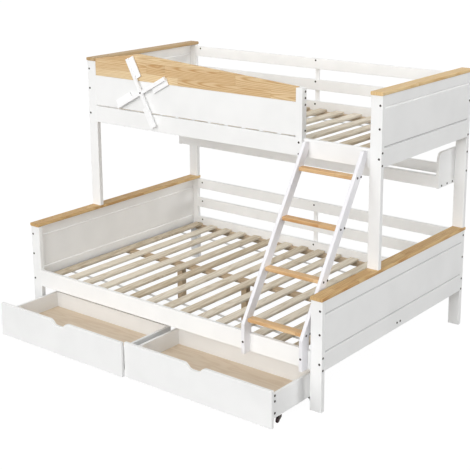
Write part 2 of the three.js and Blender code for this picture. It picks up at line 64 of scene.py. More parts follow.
def colour(red: int, green: int, blue: int) -> Colour:
    """Turns a colour as a screen shows it, 0 to 255, into the linear values that shaders take."""
    def linear(level: float) -> float:
        """Undoes the screen's curve for one channel."""
        return level / 12.92 if level <= 0.04045 else ((level + 0.055) / 1.055) ** 2.4

    return linear(red / 255), linear(green / 255), linear(blue / 255)


def dimmed(shade: Colour, share: float) -> Colour:
    """Returns a colour with all its channels scaled by one share."""
    return tuple(channel * share for channel in shade)


def opaque(shade: Union[Colour, Socket]) -> Value:
    """Returns a colour with full cover, as colour sockets take it, and leaves a socket as it is."""
    return (*shade, 1.0) if isinstance(shade, tuple) else shade


WHITE = opaque((1.0, 1.0, 1.0))


class Axis(Enum):
    """A direction of the bed."""

    X = 0
    Y = 1
    Z = 2


class Facing(Enum):
    """The way that a fitting looks out of the face it sits in."""

    FRONT = (0.0, -1.0, 0.0)
    BACK = (0.0, 1.0, 0.0)
    HEAD = (-1.0, 0.0, 0.0)
    FOOT = (1.0, 0.0, 0.0)
    UP = (0.0, 0.0, 1.0)


# Node trees


class Graph:
    """A node tree with short calls that add and join nodes, and give their sockets."""

    def __init__(self, tree: bpy.types.NodeTree) -> None:
        """Keeps the shader or geometry tree to add to."""
        self.tree = tree

    def add(
        self, kind: str, inputs: Optional[dict[Union[int, str], Value]] = None, **settings: object
    ) -> bpy.types.Node:
        """Adds one node.

        Args:
            kind: the node's type.
            inputs: a value or another node's socket for each input, by name or number.
            settings: the node's own properties.

        Returns:
            The new node.
        """
        node = self.tree.nodes.new(kind)
        for name, setting in settings.items():
            setattr(node, name, setting)
        for key, value in (inputs or {}).items():
            if isinstance(value, Socket):
                self.tree.links.new(value, node.inputs[key])
            else:
                node.inputs[key].default_value = value
        return node

    def maths(self, operation: str, *values: Value) -> Socket:
        """Gives numbers joined by one arithmetic operation."""
        return self.add("ShaderNodeMath", dict(enumerate(values)), operation=operation).outputs[0]

    def times(self, value: Value, by: Value) -> Socket:
        """Gives a product."""
        return self.maths("MULTIPLY", value, by)

    def scaled(self, value: Value, by: Value, plus: Value) -> Socket:
        """Gives a number scaled and then added to."""
        return self.maths("MULTIPLY_ADD", value, by, plus)

    def vector(self, x: Value, y: Value, z: Value) -> Socket:
        """Gives a vector made from three numbers."""
        return self.add("ShaderNodeCombineXYZ", {0: x, 1: y, 2: z}).outputs[0]

    def split(self, place: Value) -> tuple[Socket, Socket, Socket]:
        """Returns the sockets of a vector's X, Y and Z."""
        return tuple(self.add("ShaderNodeSeparateXYZ", {0: place}).outputs)

    def noise(self, place: Value, scale: float, detail: float = 2.0) -> Socket:
        """Gives a soft noise between 0 and 1, read at a place."""
        inputs = {"Vector": place, "Scale": scale, "Detail": detail}
        return self.add("ShaderNodeTexNoise", inputs).outputs[0]

    def chance(self, place: Value) -> Socket:
        """Gives one random number for each place."""
        return self.add("ShaderNodeTexWhiteNoise", {"Vector": place}).outputs["Value"]

    def clamp(self, value: Value) -> Socket:
        """Gives a number kept between 0 and 1."""
        return self.add("ShaderNodeClamp", {0: value}).outputs[0]

    def mix(self, share: Value, first: Value, second: Value) -> Socket:
        """Gives a colour between two colours."""
        inputs = {0: share, 6: opaque(first), 7: opaque(second)}
        return self.add("ShaderNodeMix", inputs, data_type="RGBA").outputs[2]

    def between(self, share: Value, first: Value, second: Value) -> Socket:
        """Gives a number between two numbers."""
        return self.add("ShaderNodeMix", {0: share, 2: first, 3: second}).outputs[0]

    def step(self, value: Value, low: float, high: float) -> Socket:
        """Gives a smooth step from 0 at low to 1 at high."""
        inputs = {"Value": value, 1: low, 2: high, 3: 0.0, 4: 1.0}
        node = self.add("ShaderNodeMapRange", inputs, interpolation_type="SMOOTHSTEP")
        return node.outputs[0]

    def place(self) -> tuple[Socket, Socket, Socket]:
        """Returns the sockets of X, Y and Z of the object's own coordinates."""
        return self.split(self.add("ShaderNodeTexCoord").outputs["Object"])


@dataclass(frozen=True)
class Fields:
    """What a finish gives at each point: its colour, how rough it is, and its fine relief."""

    colour: Socket
    roughness: Socket
    height: Socket


class Finish(ABC):
    """A finish that can dress a piece alone or share it with another finish."""

    name: str
    slot: str
    relief: float
    metallic: float = 0.0
    gloss: float = 0.5

    @abstractmethod
    def fields(self, graph: Graph) -> Fields:
        """Adds the finish's nodes.

        Args:
            graph: the shader tree to add to.

        Returns:
            The sockets of colour, roughness and height.
        """

    def material(self, bump_strength: float = 0.6) -> Material:
        """Makes the finish's own material, once.

        Args:
            bump_strength: how strongly the relief tilts the light.

        Returns:
            The material.
        """
        found = bpy.data.materials.get(self.name)
        if found:
            return found
        made = bpy.data.materials.new(self.name)
        graph = cleared(made)
        fields = self.fields(graph)
        inputs = {"Height": fields.height, "Strength": bump_strength, "Distance": self.relief}
        inputs = {
            "Base Color": fields.colour,
            "Roughness": fields.roughness,
            "Normal": graph.add("ShaderNodeBump", inputs).outputs[0],
            "Metallic": self.metallic,
            "Specular IOR Level": self.gloss,
        }
        shader = graph.add("ShaderNodeBsdfPrincipled", inputs)
        graph.add("ShaderNodeOutputMaterial", {"Surface": shader.outputs[0]})
        return made


@dataclass(frozen=True)
class Zone:
    """The part of a piece beyond one plane, where a second finish shows."""

    axis: Axis
    edge: float
    above: bool

    def mask(self, graph: Graph) -> Socket:
        """Returns the socket that is 1 inside the zone and 0 outside it."""
        value = graph.place()[self.axis.value]
        return graph.maths("GREATER_THAN" if self.above else "LESS_THAN", value, self.edge)


@dataclass(frozen=True)
class Pocket:
    """A box-shaped part of a piece, where a second finish shows."""

    low: tuple[float, float, float]
    high: tuple[float, float, float]

    def mask(self, graph: Graph) -> Socket:
        """Returns the socket that is 1 inside the pocket and 0 outside it."""
        inside: Value = 1.0
        for value, low, high in zip(graph.place(), self.low, self.high):
            within = graph.maths("COMPARE", value, (low + high) / 2, (high - low) / 2)
            inside = graph.times(inside, within)
        return inside


def cleared(owner: Union[Material, bpy.types.World]) -> Graph:
    """Returns the emptied node tree of a material or a world."""
    owner.use_nodes = True
    owner.node_tree.nodes.clear()
    return Graph(owner.node_tree)


@dataclass(frozen=True)
class Lacquer(Finish):
    """Satin lacquer sprayed on solid wood, with the grain just telegraphing through."""

    name: str
    slot: str = "white_lacquer"
    shade: Colour = colour(246, 246, 245)
    along: Axis = Axis.X
    roughness: float = 0.36
    relief: float = 0.00035
    grain_scales: Pair = (5.0, 130.0)
    grain_height: float = 0.5
    spray_scale: float = 620.0
    spray_height: float = 0.18
    cloud_scale: float = 5.0
    cloud_steps: Pair = (0.3, 0.75)
    cloud_dimming: float = 0.955
    cloud_roughness: Pair = (-0.05, 0.08)
    pore_steps: Pair = (0.66, 0.8)
    pore_dimming: float = 0.8
    pore_share: float = 0.05

    def fields(self, graph: Graph) -> Fields:
        """Adds sprayed texture, faint clouding and stretched grain."""
        ends = graph.place()
        along, across = self.grain_scales
        stretched = [
            graph.times(end, along if index == self.along.value else across)
            for index, end in enumerate(ends)
        ]
        grain = graph.noise(graph.vector(*stretched), 1.0, 3.0)
        spray = graph.noise(graph.vector(*ends), self.spray_scale, 1.0)
        cloud = graph.noise(graph.vector(*ends), self.cloud_scale, 2.0)
        soft = dimmed(self.shade, self.cloud_dimming)
        tone = graph.mix(graph.step(cloud, *self.cloud_steps), self.shade, soft)
        pore = graph.times(graph.step(grain, *self.pore_steps), self.pore_share)
        tone = graph.mix(pore, tone, dimmed(self.shade, self.pore_dimming))
        rough = graph.between(cloud, *(self.roughness + more for more in self.cloud_roughness))
        height = graph.scaled(grain, self.grain_height, graph.times(spray, self.spray_height))
        return Fields(tone, rough, height)


@dataclass(frozen=True, kw_only=True)
class SharedLacquer(Lacquer):
    """Lacquer on a piece that wears another finish inside a zone."""

    other: Finish
    zone: Union[Zone, Pocket]

    def fields(self, graph: Graph) -> Fields:
        """Adds both finishes and the mask that parts them."""
        outer = super().fields(graph)
        mask = self.zone.mask(graph)
        inner = self.other.fields(graph)
        return Fields(
            graph.mix(mask, outer.colour, inner.colour),
            graph.between(mask, outer.roughness, inner.roughness),
            graph.between(mask, outer.height, inner.height),
        )


@dataclass(frozen=True)
class Wood(Finish):
    """Bare or oiled wood, in one board or glued from finger-jointed staves.

    A pair of scales is along the grain and across it.
    """

    name: str
    slot: str
    pale: Colour
    deep: Colour
    knot: Colour
    along: Axis
    across: Axis
    through: Axis
    ring_gap: float = 0.008
    ring_swing: float = 1.3
    ring_swing_scales: Pair = (2.6, 17.0)
    ring_arch: float = 0.05
    ring_sharpness: float = 2.4
    ring_share: float = 0.45
    ring_height: float = 0.3
    ring_polish: float = 0.08
    fibre_scales: Pair = (9.0, 420.0)
    fibre_share: float = 0.7
    fibre_height: float = 0.6
    fleck_scales: Pair = (34.0, 900.0)
    fleck_steps: Pair = (0.6, 0.74)
    fleck_share: float = 0.25
    fleck_height: float = -0.35
    tint: float = 0.32
    stave_width: float = 0.042
    stave_length: float = 0.34
    stave_change: float = 0.35
    stave_drift: float = 37.0
    row_start: float = 40.37
    row_shift: float = 7.0
    row_draw: float = 3.0
    finger_gap: float = 0.0035
    finger_reach: float = 1.7
    seam_half: float = 0.0005
    butt_half: float = 0.0006
    joint_share: float = 0.3
    knot_share: float = 0.8
    knot_gap: float = 0.3
    knot_squash: float = 2.2
    knot_rarity: float = 0.62
    knot_halo: Pair = (0.3, 0.02)
    knot_halo_share: float = 0.4
    knot_core: Pair = (0.075, 0.03)
    knot_pull: float = 2.4
    roughness: float = 0.52
    gloss: float = 0.35
    relief: float = 0.0004
    seed: float = 0.0

    def fields(self, graph: Graph) -> Fields:
        """Adds staves, growth rings, fibres, pores, knots and glue lines."""
        ends = graph.place()
        u, v, w = (ends[axis.value] for axis in (self.along, self.across, self.through))
        offset = graph.maths("ADD", v, self.stave_width * self.row_start)
        row_run = graph.maths("DIVIDE", offset, self.stave_width)
        row = graph.maths("FLOOR", row_run)
        finger = graph.times(graph.maths("PINGPONG", v, self.finger_gap), self.finger_reach)
        draw = graph.chance(graph.vector(row, self.seed, self.row_draw))
        length = graph.maths("DIVIDE", graph.maths("ADD", u, finger), self.stave_length)
        run = graph.maths("ADD", length, graph.times(draw, self.row_shift))
        stave = graph.vector(row, graph.maths("FLOOR", run), self.seed + 0.5)
        luck = graph.chance(stave)
        drift = graph.times(luck, self.stave_drift)

        def stretched(along: float, sideways: float) -> Socket:
            """Returns a place stretched along the grain, with its own start in each stave."""
            return graph.vector(
                graph.scaled(u, along, drift),
                graph.scaled(v, sideways, drift),
                graph.times(w, sideways),
            )

        place = graph.vector(
            graph.scaled(u, 1 / self.knot_gap, self.seed),
            graph.times(v, self.knot_squash / self.knot_gap),
            0.0,
        )
        inputs = {"Vector": place, "Scale": 1.0, "Randomness": 1.0}
        knots = graph.add("ShaderNodeTexVoronoi", inputs).outputs
        draw = graph.chance(knots["Position"])
        chosen = graph.maths("GREATER_THAN", draw, self.knot_rarity)
        near = graph.times(chosen, graph.step(knots["Distance"], *self.knot_halo))
        core = graph.times(chosen, graph.step(knots["Distance"], *self.knot_core))

        lead = graph.maths("SUBTRACT", graph.maths("FRACT", run), luck)
        lead = graph.times(lead, self.stave_length * self.ring_arch)
        aside = graph.maths("SUBTRACT", graph.maths("FRACT", row_run), luck)
        aside = graph.times(aside, self.stave_width)
        squares = graph.scaled(lead, lead, graph.times(aside, aside))
        rings = graph.maths("DIVIDE", graph.maths("SQRT", squares), self.ring_gap)
        slow = graph.noise(stretched(*self.ring_swing_scales), 1.0, 2.0)
        pull = graph.scaled(near, self.knot_pull, graph.times(slow, self.ring_swing))
        turn = graph.times(graph.maths("ADD", rings, pull), math.tau)
        wave = graph.scaled(graph.maths("SINE", turn), 0.5, 0.5)
        ring = graph.maths("POWER", wave, self.ring_sharpness)
        fibre = graph.noise(stretched(*self.fibre_scales), 1.0, 3.0)
        fleck = graph.noise(stretched(*self.fleck_scales), 1.0, 2.0)
        fleck = graph.step(fleck, *self.fleck_steps)
        tint = graph.scaled(graph.maths("SUBTRACT", luck, 0.5), self.stave_change, self.tint)
        tint = graph.scaled(ring, self.ring_share, tint)
        tint = graph.scaled(graph.maths("SUBTRACT", fibre, 0.5), self.fibre_share, tint)
        tint = graph.scaled(fleck, self.fleck_share, tint)
        tone = graph.mix(graph.clamp(tint), self.pale, self.deep)

        share = graph.clamp(graph.scaled(near, self.knot_halo_share, core))
        tone = graph.mix(graph.times(share, self.knot_share), tone, self.knot)
        seam = self.line(graph, row_run, self.seam_half / self.stave_width)
        butt = self.line(graph, run, self.butt_half / self.stave_length)
        lines = graph.times(graph.maths("MAXIMUM", seam, butt), self.joint_share)
        tone = graph.mix(lines, tone, self.knot)
        rough = graph.scaled(ring, -self.ring_polish, self.roughness + 0.06)
        height = graph.scaled(ring, self.ring_height, graph.times(fibre, self.fibre_height))
        return Fields(tone, rough, graph.scaled(fleck, self.fleck_height, height))

    @staticmethod
    def line(graph: Graph, run: Socket, half: float) -> Socket:
        """Marks where a run crosses a whole number.

        Args:
            graph: the tree to add to.
            run: the socket of the run, one whole number to a stave.
            half: half the line's width, as a share of a stave.

        Returns:
            The socket of a mask, 1 on the line.
        """
        return graph.maths("LESS_THAN", graph.maths("PINGPONG", run, 0.5), half)


@dataclass(frozen=True)
class Plastic(Finish):
    """Moulded nylon with a fine, slightly worn surface."""

    name: str
    slot: str = "black_plastic"
    shade: Colour = colour(58, 34, 40)
    roughness: float = 0.42
    relief: float = 0.0002
    grain_scale: float = 1400.0
    scuff_scale: float = 120.0
    scuff_steps: Pair = (0.5, 0.75)
    scuff_gain: float = 1.9
    scuff_lift: float = 0.004
    scuff_share: float = 0.5
    scuff_roughness: float = 0.2

    def fields(self, graph: Graph) -> Fields:
        """Adds fine moulding grain and a little scuffing."""
        place = graph.vector(*graph.place())
        grain = graph.noise(place, self.grain_scale, 2.0)
        scuff = graph.step(graph.noise(place, self.scuff_scale, 4.0), *self.scuff_steps)
        worn = tuple(channel * self.scuff_gain + self.scuff_lift for channel in self.shade)
        tone = graph.mix(graph.times(scuff, self.scuff_share), self.shade, worn)
        rough = graph.between(scuff, self.roughness, self.roughness + self.scuff_roughness)
        return Fields(tone, rough, grain)


@dataclass(frozen=True)
class Metal(Finish):
    """Plated steel of bolts, nuts, screws and staples."""

    name: str
    slot: str = "black_plastic"
    shade: Colour = colour(92, 86, 82)
    metallic: float = 1.0
    roughness: float = 0.38
    relief: float = 0.0001
    cloud_scale: float = 240.0
    cloud_steps: Pair = (0.35, 0.7)
    cloud_dimming: float = 0.55
    scratch_scale: float = 900.0
    scratch_stretch: float = 9.0
    scratch_roughness: Pair = (-0.08, 0.15)

    def fields(self, graph: Graph) -> Fields:
        """Adds the clouded look of plating and fine scratches."""
        x, y, z = graph.place()
        cloud = graph.noise(graph.vector(x, y, z), self.cloud_scale, 3.0)
        drawn = graph.vector(graph.times(x, self.scratch_stretch), y, z)
        scratch = graph.noise(drawn, self.scratch_scale, 1.0)
        dull = dimmed(self.shade, self.cloud_dimming)
        tone = graph.mix(graph.step(cloud, *self.cloud_steps), self.shade, dull)
        ends = (self.roughness + more for more in self.scratch_roughness)
        return Fields(tone, graph.between(scratch, *ends), scratch)


@dataclass(frozen=True)
class Webbing(Finish):
    """Woven polyester tape with ribs across it."""

    name: str
    slot: str = "slat_pine"
    shade: Colour = colour(240, 239, 236)
    rib_gap: float = 0.0016
    strand_gap: float = 0.0006
    shadow: float = 0.72
    polish: float = 0.1
    roughness: float = 0.85
    relief: float = 0.0005

    def fields(self, graph: Graph) -> Fields:
        """Adds the ribs and the weave's small steps."""
        x, y, _ = graph.place()
        half = self.rib_gap / 2
        rib = graph.maths("DIVIDE", graph.maths("PINGPONG", x, half), half)
        strand = graph.maths("PINGPONG", y, self.strand_gap)
        strand = graph.maths("DIVIDE", strand, self.strand_gap)
        weave = graph.times(rib, graph.scaled(strand, 0.5, 0.5))
        tone = graph.mix(weave, dimmed(self.shade, self.shadow), self.shade)
        rough = graph.between(weave, self.roughness, self.roughness - self.polish)
        return Fields(tone, rough, weave)


Tone = tuple[int, int, int]
Grain = tuple[Axis, Axis, Axis]

# The axes along the grain, across it and through the board
ALONG_BED: Grain = (Axis.X, Axis.Y, Axis.Z)
ALONG_BED_ON_EDGE: Grain = (Axis.X, Axis.Z, Axis.Y)
ACROSS_BED: Grain = (Axis.Y, Axis.X, Axis.Z)
UPRIGHT: Grain = (Axis.Z, Axis.X, Axis.Y)


def wood(
    name: str, slot: str, tones: tuple[Tone, Tone, Tone], grain: Grain, **sizes: float
) -> Wood:
    """Makes a wood from colours as a screen shows them.

    Args:
        name: the material's name.
        slot: the slot that it belongs to.
        tones: the pale wood, the deep rings and the knots.
        grain: the axes along, across and through the board.
        sizes: the fields of Wood that differ from its own values.

    Returns:
        The finish.
    """
    return Wood(name, slot, *(colour(*tone) for tone in tones), *grain, **sizes)


WHITE_X = Lacquer("white_lacquer_along_bed")
WHITE_Y = Lacquer("white_lacquer_across_bed", along=Axis.Y)
WHITE_Z = Lacquer("white_lacquer_upright", along=Axis.Z)
# Three lacquers with painted light and shade in their colour. This one is painted shade in the foot
# boards' grooves
PAINTED_SHADE = Lacquer("white_lacquer_in_grooves", along=Axis.Y, shade=colour(208, 208, 208))
# Painted highlight in the head boards' grooves, and the windmill painted brighter than the panel
# behind it
PAINTED_BRIGHT = Lacquer("white_lacquer_bright", shade=colour(254, 254, 254))
# Painted shade on the ladder's stringers, a darker copy of the bed's white
LADDER_PAINTED_SHADE = Lacquer("white_lacquer_ladder", along=Axis.Z, shade=colour(238, 237, 240))

CAP = wood(
    "oiled_caps",
    "oiled_wood",
    ((225, 196, 144), (178, 131, 75), (121, 78, 39)),
    ACROSS_BED,
    stave_width=0.037,
    seed=1.7,
)
PALE_CAP = wood(
    "pale_caps",
    "pale_wood",
    ((235, 209, 161), (209, 168, 111), (164, 118, 70)),
    ACROSS_BED,
    stave_width=0.037,
    seed=4.1,
)
# Painted shade: the pale caps' wood, darker, for the upper head cap
HEAD_CAP_PAINTED_SHADE = wood(
    "upper_head_cap_wood",
    "pale_wood",
    ((197, 172, 133), (173, 137, 91), (135, 97, 57)),
    ACROSS_BED,
    stave_width=0.037,
    seed=4.1,
)
ROOF = wood(
    "oiled_roof_board",
    "oiled_wood",
    ((240, 219, 179), (190, 146, 93), (129, 87, 49)),
    ALONG_BED_ON_EDGE,
    ring_swing=1.9,
    stave_width=0.062,
    stave_length=0.66,
    stave_change=0.5,
    seed=2.3,
)
RUNG = wood(
    "oiled_rungs",
    "oiled_wood",
    ((238, 207, 162), (188, 138, 84), (128, 82, 44)),
    ALONG_BED,
    stave_width=0.9,
    stave_length=0.3,
    seed=5.9,
)
BARE_PINE = {
    "ring_gap": 0.011,
    "ring_swing": 3.0,
    "ring_share": 0.4,
    "fibre_share": 1.1,
    "fleck_share": 0.0,
    "joint_share": 0.0,
    "knot_gap": 0.34,
    "roughness": 0.74,
    "gloss": 0.25,
}
SLAT = wood(
    "planed_slats",
    "slat_pine",
    ((243, 234, 217), (200, 183, 156), (150, 120, 88)),
    ACROSS_BED,
    stave_width=0.0637,
    stave_length=4.0,
    stave_change=0.9,
    knot_share=0.55,
    seed=7.2,
    **BARE_PINE,
)
BROWN_RAIL = wood(
    "brown_pine_lengthwise",
    "brown_pine",
    ((216, 196, 169), (182, 156, 124), (124, 92, 62)),
    ALONG_BED,
    stave_width=0.9,
    stave_length=9.0,
    seed=3.3,
    **BARE_PINE,
)
# Painted light: the legs' brown pine, lighter than the beam's, lifts their shade under the bed
BROWN_LEG_PAINTED_LIGHTER = wood(
    "brown_pine_upright",
    "brown_pine",
    ((240, 218, 186), (208, 180, 144), (146, 108, 72)),
    UPRIGHT,
    stave_width=0.9,
    stave_length=9.0,
    seed=8.8,
    **BARE_PINE,
)
PLY = wood(
    "drawer_plywood",
    "plywood",
    ((236, 221, 200), (214, 192, 165), (176, 144, 108)),
    ALONG_BED,
    ring_gap=0.03,
    ring_swing=5.0,
    ring_share=0.35,
    fleck_share=0.1,
    stave_width=4.0,
    stave_length=9.0,
    joint_share=0.0,
    knot_share=0.0,
    roughness=0.6,
    seed=6.4,
)
TREAD = Plastic("dark_caster_tread")
STEEL = Metal("dark_plated_steel")
STAPLE = Metal("bright_staple_wire", shade=colour(178, 176, 172), roughness=0.3)
TAPE = Webbing("white_webbing")


# Meshes


def keep(
    name: str, mesh: Mesh, finishes: Iterable[Material]
) -> Object:
    """Puts a mesh in the scene as an object at the origin.

    Args:
        name: the object's name.
        mesh: its mesh, in place.
        finishes: the materials for its slots.

    Returns:
        The new object.
    """
    mesh.name = name
    mesh.materials.clear()
    for finish in finishes:
        mesh.materials.append(finish)
    made = bpy.data.objects.new(name, mesh)
    bpy.context.scene.collection.objects.link(made)
    return made


def settle(made: Object) -> None:
    """Turns what an object's modifiers give into its own plain mesh, and removes them."""
    view = bpy.context.evaluated_depsgraph_get()
    mesh = bpy.data.meshes.new_from_object(made.evaluated_get(view))
    made.modifiers.clear()
    old = made.data
    made.data = mesh
    mesh.name = made.name
    bpy.data.meshes.remove(old)


def dress(finish: Finish, *nodes: str) -> None:
    """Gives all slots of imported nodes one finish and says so."""
    for node in nodes:
        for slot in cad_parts[node].material_slots:
            slot.material = finish.material()
        LOG.info("%s wears %s", node, finish.name)


def enter(made: Object, body: str, node: Optional[str] = None) -> None:
    """Tells the frame about a piece.

    Args:
        made: the piece.
        body: the body that it rides on.
        node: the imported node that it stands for, if any.
    """
    if node is not None:
        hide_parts(node)
    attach(made, body)


@dataclass
class EasedBoard:
    """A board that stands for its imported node, with its sharp edges eased as by sanding.

    The two angles, in degrees, tell a flat joint between triangles and a sharp edge.
    """

    node: str
    finish: Finish
    body: str = "frame"
    ease: float = 0.0012
    steps: int = 2
    merge_gap: float = 1e-5
    flat_angle: float = 1.0
    sharp_angle: float = 35.0

    def build(self) -> Object:
        """Dresses the node, and eases a copy of it with merged triangles and joined faces.

        Returns:
            The finished board.
        """
        dress(self.finish, self.node)
        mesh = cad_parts[self.node].data.copy()
        work = bmesh.new()
        work.from_mesh(mesh)
        bmesh.ops.remove_doubles(work, verts=work.verts, dist=self.merge_gap)
        flat = math.radians(self.flat_angle)
        bmesh.ops.dissolve_limit(work, angle_limit=flat, verts=work.verts, edges=work.edges)
        work.to_mesh(mesh)
        work.free()
        made = keep(f"{self.node}_eased", mesh, [self.finish.material()])
        for polygon in made.data.polygons:
            polygon.use_smooth = False
        bevel = made.modifiers.new("ease", "BEVEL")
        bevel.width = self.ease
        bevel.segments = self.steps
        bevel.limit_method = "ANGLE"
        bevel.angle_limit = math.radians(self.sharp_angle)
        settle(made)
        enter(made, self.body, self.node)
        LOG.info("%s eased: %d faces", self.node, len(made.data.polygons))
        return made


# Geometry trees


class Pattern:
    """A geometry tree with named inputs, used through a modifier on a start mesh."""

    def __init__(self, name: str, *entries: str) -> None:
        """Makes a tree with geometry in and out, and named inputs.

        Args:
            name: the tree's name.
            entries: each input's name, with a colon and its kind where it isn't a Float.
        """
        self.tree = bpy.data.node_groups.new(name, "GeometryNodeTree")
        self.graph = Graph(self.tree)
        self.sockets: dict[str, str] = {}
        face = self.tree.interface
        for way in ("OUTPUT", "INPUT"):
            face.new_socket("Geometry", in_out=way, socket_type="NodeSocketGeometry")
        self.start = self.graph.add("NodeGroupInput")
        for entry in entries:
            title, _, kind = entry.partition(":")
            socket_type = f"NodeSocket{kind or 'Float'}"
            made = face.new_socket(title, in_out="INPUT", socket_type=socket_type)
            self.sockets[title] = made.identifier

    def inputs(self) -> list[Socket]:
        """Returns the sockets that give the named inputs inside the tree, in their order."""
        return [self.start.outputs[title] for title in self.sockets]

    def close(self, result: Socket) -> "Pattern":
        """Ends the tree with a result that is already realized and dressed, and returns it."""
        self.graph.add("NodeGroupOutput", {0: result})
        return self

    def run(
        self,
        name: str,
        values: dict[str, Value],
        finishes: Sequence[Finish],
        mesh: Optional[Mesh] = None,
    ) -> Object:
        """Runs the tree and keeps the result as a plain mesh.

        Args:
            name: the new object's name.
            values: a value for each named input.
            finishes: the finishes that the tree sets, for the log.
            mesh: the start mesh, where the tree reads one.

        Returns:
            The finished object.
        """
        made = keep(name, mesh or bpy.data.meshes.new(name), [])
        modifier = made.modifiers.new(self.tree.name, "NODES")
        modifier.node_group = self.tree
        for key, value in values.items():
            modifier[self.sockets[key]] = value
        settle(made)
        words = ", ".join(finish.name for finish in finishes)
        LOG.info("%s: %d faces in %s", name, len(made.data.polygons), words)
        return made


def coated(graph: Graph, shape: Socket, finish: Socket) -> Socket:
    """Gives a shape with a material."""
    inputs = {"Geometry": shape, "Material": finish}
    return graph.add("GeometryNodeSetMaterial", inputs).outputs[0]


def copied(graph: Graph, finish: Socket, **inputs: Socket) -> Socket:
    """Puts a shape on every point and dresses the copies.

    Args:
        graph: the geometry tree.
        finish: the socket of the copies' material.
        inputs: the sockets of the Points, the Instance and, where it turns, its Rotation.

    Returns:
        The socket of the realized copies.
    """
    copies = graph.add("GeometryNodeInstanceOnPoints", inputs)
    real = graph.add("GeometryNodeRealizeInstances", {0: copies.outputs[0]})
    return coated(graph, real.outputs[0], finish)


def row(graph: Graph, count: Socket, start: Socket, pitch: Socket) -> Socket:
    """Gives evenly spaced points along the bed."""
    inputs = {"Count": count, "Start Location": start, "Offset": graph.vector(pitch, 0.0, 0.0)}
    return graph.add("GeometryNodeMeshLine", inputs).outputs[0]


def joined(graph: Graph, *parts: Socket) -> Socket:
    """Gives several shapes in one."""
    whole = graph.add("GeometryNodeJoinGeometry")
    for part in parts:
        graph.tree.links.new(part, whole.inputs[0])
    return whole.outputs[0]


def moved(graph: Graph, shape: Socket, by: Value) -> Socket:
    """Gives a shape moved by a vector."""
    inputs = {"Geometry": shape, "Translation": by}
    return graph.add("GeometryNodeTransform", inputs).outputs[0]


def swept(graph: Graph, path: Socket, width: Value, thick: Value, edge: Value) -> Socket:
    """Sweeps a rounded rectangular section along a path that keeps level.

    Args:
        graph: the geometry tree.
        path: the socket of the path.
        width: the section's level width.
        thick: its height.
        edge: the rounding of its long edges.

    Returns:
        The socket of the closed mesh.
    """
    level = graph.add("GeometryNodeSetCurveNormal", {0: path}, mode="Z_UP")
    section = graph.add("GeometryNodeCurvePrimitiveQuadrilateral", {0: width, 1: thick})
    inputs = {"Curve": section.outputs[0], "Radius": edge, "Count": 3}
    eased = graph.add("GeometryNodeFilletCurve", inputs, mode="POLY")
    inputs = {"Curve": level.outputs[0], "Profile Curve": eased.outputs[0], "Fill Caps": True}
    return graph.add("GeometryNodeCurveToMesh", inputs).outputs[0]


def fastener_pattern(
    corners: int = 20, crown_share: float = 0.84, recess_share: float = 1.2
) -> Pattern:
    """Makes the tree that sets one kind of fastener head at every start point.

    The points carry a vector named facing, the way that each head looks.

    Args:
        corners: the corners of a head's outline.
        crown_share: the radius of a head's top, as a share of its foot.
        recess_share: the length of the recess's cutter, as a share of the head's height.

    Returns:
        The tree, with inputs for the head's and the recess's sizes.
    """
    pattern = Pattern(
        "fastener_heads",
        "Head Radius",
        "Head Height",
        "Recess Radius",
        "Recess Corners:Int",
        "Finish:Material",
    )
    graph = pattern.graph
    radius, height, recess, recess_corners, finish = pattern.inputs()
    crown = graph.times(radius, crown_share)
    inputs = {"Vertices": corners, "Radius Top": crown, "Radius Bottom": radius, "Depth": height}
    head = graph.add("GeometryNodeMeshCone", inputs)
    deep = graph.times(height, recess_share)
    inputs = {"Vertices": recess_corners, "Radius": recess, "Depth": deep}
    hollow = graph.add("GeometryNodeMeshCylinder", inputs)
    raised = moved(graph, hollow.outputs[0], graph.vector(0.0, 0.0, height))
    cut = graph.add("GeometryNodeMeshBoolean", operation="DIFFERENCE", solver="EXACT")
    graph.tree.links.new(head.outputs[0], cut.inputs["Mesh 1"])
    graph.tree.links.new(raised, cut.inputs["Mesh 2"])
    facing = graph.add(
        "GeometryNodeInputNamedAttribute", {"Name": "facing"}, data_type="FLOAT_VECTOR"
    )
    turn = graph.add("FunctionNodeAlignRotationToVector", {"Vector": facing.outputs[0]}, axis="Z")
    points = pattern.start.outputs["Geometry"]
    sockets = {"Points": points, "Instance": cut.outputs[0], "Rotation": turn.outputs[0]}
    return pattern.close(copied(graph, finish, **sockets))


def slat_pattern() -> Pattern:
    """Makes the tree that lays evenly spaced slats between two side rails.

    Returns:
        The tree, with inputs for the slats' number, spacing and sizes.
    """
    pattern = Pattern(
        "slat_roll",
        "Count:Int",
        "Pitch",
        "First Middle:Vector",
        "Slat Width",
        "Slat Thickness",
        "Slat Length",
        "Edge Rounding",
        "Finish:Material",
    )
    graph = pattern.graph
    count, pitch, first, width, thick, length, edge, finish = pattern.inputs()
    half = graph.times(length, 0.5)
    front = graph.vector(0.0, graph.times(half, -1.0), 0.0)
    inputs = {"Start": front, "End": graph.vector(0.0, half, 0.0)}
    path = graph.add("GeometryNodeCurvePrimitiveLine", inputs)
    slat = swept(graph, path.outputs[0], width, thick, edge)
    points = row(graph, count, first, pitch)
    return pattern.close(copied(graph, finish, Points=points, Instance=slat))


